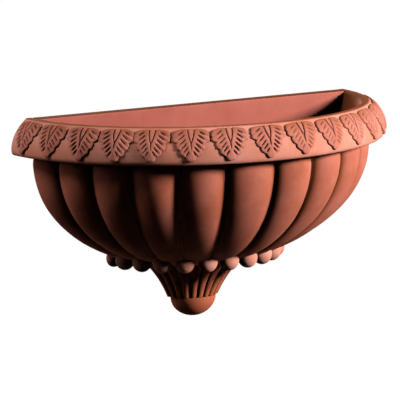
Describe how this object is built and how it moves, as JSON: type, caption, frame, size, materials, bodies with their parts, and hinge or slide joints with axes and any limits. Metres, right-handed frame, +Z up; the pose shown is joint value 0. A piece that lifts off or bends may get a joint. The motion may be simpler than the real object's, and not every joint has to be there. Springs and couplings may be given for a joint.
{
  "type": "wall planter",
  "caption": "Half-round terracotta wall planter with a gadrooned bowl, an overhanging leaf-moulded rim, a flat pierced back, beads and a fluted finial.",
  "frame": {"origin": "on the wall face of the back wall, midway between the two hanging holes", "axes": "+X to the right as seen by someone facing the wall, +Y into the wall, +Z up; the front faces -Y"},
  "size_m": [0.6008, 0.2552, 0.3129],
  "materials": {
    "bowl_clay": "matte unglazed terracotta, fine speckled grain",
    "rim_clay": "matte unglazed terracotta, wiped smooth",
    "leaf_clay": "matte unglazed terracotta, darker in the cut veins",
    "back_clay": "matte unglazed terracotta, flat slab"
  },
  "bodies": {
    "root": {"bowl_shell": "bowl_clay", "back_wall": "back_clay", "rim_band": "rim_clay", "leaf_01": "leaf_clay", "leaf_02": "leaf_clay", "leaf_03": "leaf_clay", "leaf_04": "leaf_clay", "leaf_05": "leaf_clay", "leaf_06": "leaf_clay", "leaf_07": "leaf_clay", "leaf_08": "leaf_clay", "leaf_09": "leaf_clay", "leaf_10": "leaf_clay", "leaf_11": "leaf_clay", "leaf_12": "leaf_clay", "leaf_13": "leaf_clay", "leaf_14": "leaf_clay", "leaf_15": "leaf_clay", "leaf_16": "leaf_clay", "bead_01": "bowl_clay", "bead_02": "bowl_clay", "bead_03": "bowl_clay", "bead_04": "bowl_clay", "bead_05": "bowl_clay", "bead_06": "bowl_clay", "bead_07": "bowl_clay", "bead_08": "bowl_clay", "bead_09": "bowl_clay", "bead_10": "bowl_clay", "bead_11": "bowl_clay", "bead_12": "bowl_clay", "bead_13": "bowl_clay", "finial_cone": "bowl_clay", "finial_knob": "bowl_clay"}
  },
  "joints": []
}
